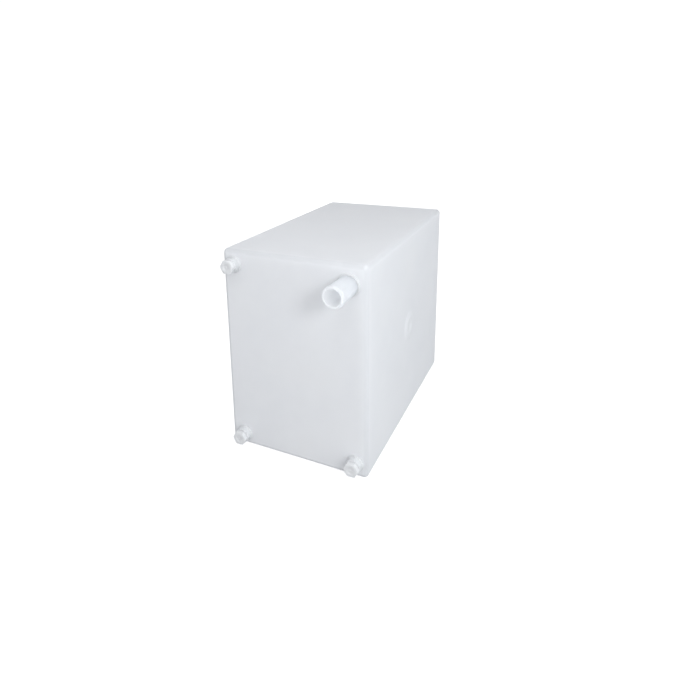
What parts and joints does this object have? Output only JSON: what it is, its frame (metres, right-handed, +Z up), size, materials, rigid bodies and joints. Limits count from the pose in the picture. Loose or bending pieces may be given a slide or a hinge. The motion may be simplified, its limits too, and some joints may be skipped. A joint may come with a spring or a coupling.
{
  "type": "fresh water tank",
  "caption": "Hollow moulded box tank in natural plastic with an open fill spout and screw-plugged ports on one end, for the fresh water of a food truck.",
  "frame": {"origin": "middle of the flat underside of the shell", "axes": "+Z up; -Y is the end with the spout and the ports; +X is the side with the roundel"},
  "size_m": [0.2562, 0.4898, 0.3556],
  "materials": {
    "shell": "satin natural polyethylene, slightly translucent",
    "fitting": "satin natural polyethylene",
    "plug": "satin natural polypropylene",
    "silicone": "soft translucent silicone"
  },
  "bodies": {
    "tank": {"tank_shell": "shell", "fill_spout": "fitting", "vent_fitting": "fitting", "outlet_fitting": "fitting", "drain_fitting": "fitting"},
    "vent_washer_body": {"vent_plug_washer": "silicone"},
    "vent_plug_body": {"vent_plug": "plug"},
    "outlet_washer_body": {"outlet_plug_washer": "silicone"},
    "outlet_plug_body": {"outlet_plug": "plug"},
    "drain_washer_body": {"drain_plug_washer": "silicone"},
    "drain_plug_body": {"drain_plug": "plug"}
  },
  "joints": [
    {"name": "vent_plug_travel", "type": "slide", "parent": "tank", "child": "vent_washer_body", "axis": [0, -1, 0], "range_m": [0, 0.0099]},
    {"name": "vent_plug_turn", "type": "hinge", "parent": "vent_washer_body", "child": "vent_plug_body", "pos_m": [-0.106, -0.2291, 0.3306], "axis": [0, -1, 0], "range_deg": [0, 2520]},
    {"name": "outlet_plug_travel", "type": "slide", "parent": "tank", "child": "outlet_washer_body", "axis": [0, -1, 0], "range_m": [0, 0.0099]},
    {"name": "outlet_plug_turn", "type": "hinge", "parent": "outlet_washer_body", "child": "outlet_plug_body", "pos_m": [-0.1005, -0.2291, 0.022], "axis": [0, -1, 0], "range_deg": [0, 2520]},
    {"name": "drain_plug_travel", "type": "slide", "parent": "tank", "child": "drain_washer_body", "axis": [0, -1, 0], "range_m": [0, 0.0099]},
    {"name": "drain_plug_turn", "type": "hinge", "parent": "drain_washer_body", "child": "drain_plug_body", "pos_m": [0.1065, -0.2291, 0.025], "axis": [0, -1, 0], "range_deg": [0, 2520]}
  ],
  "couplings": [
    {"joint": "vent_plug_travel", "follows": "vent_plug_turn", "m_per_rad": 0.00022458},
    {"joint": "outlet_plug_travel", "follows": "outlet_plug_turn", "m_per_rad": 0.00022458},
    {"joint": "drain_plug_travel", "follows": "drain_plug_turn", "m_per_rad": 0.00022458}
  ]
}
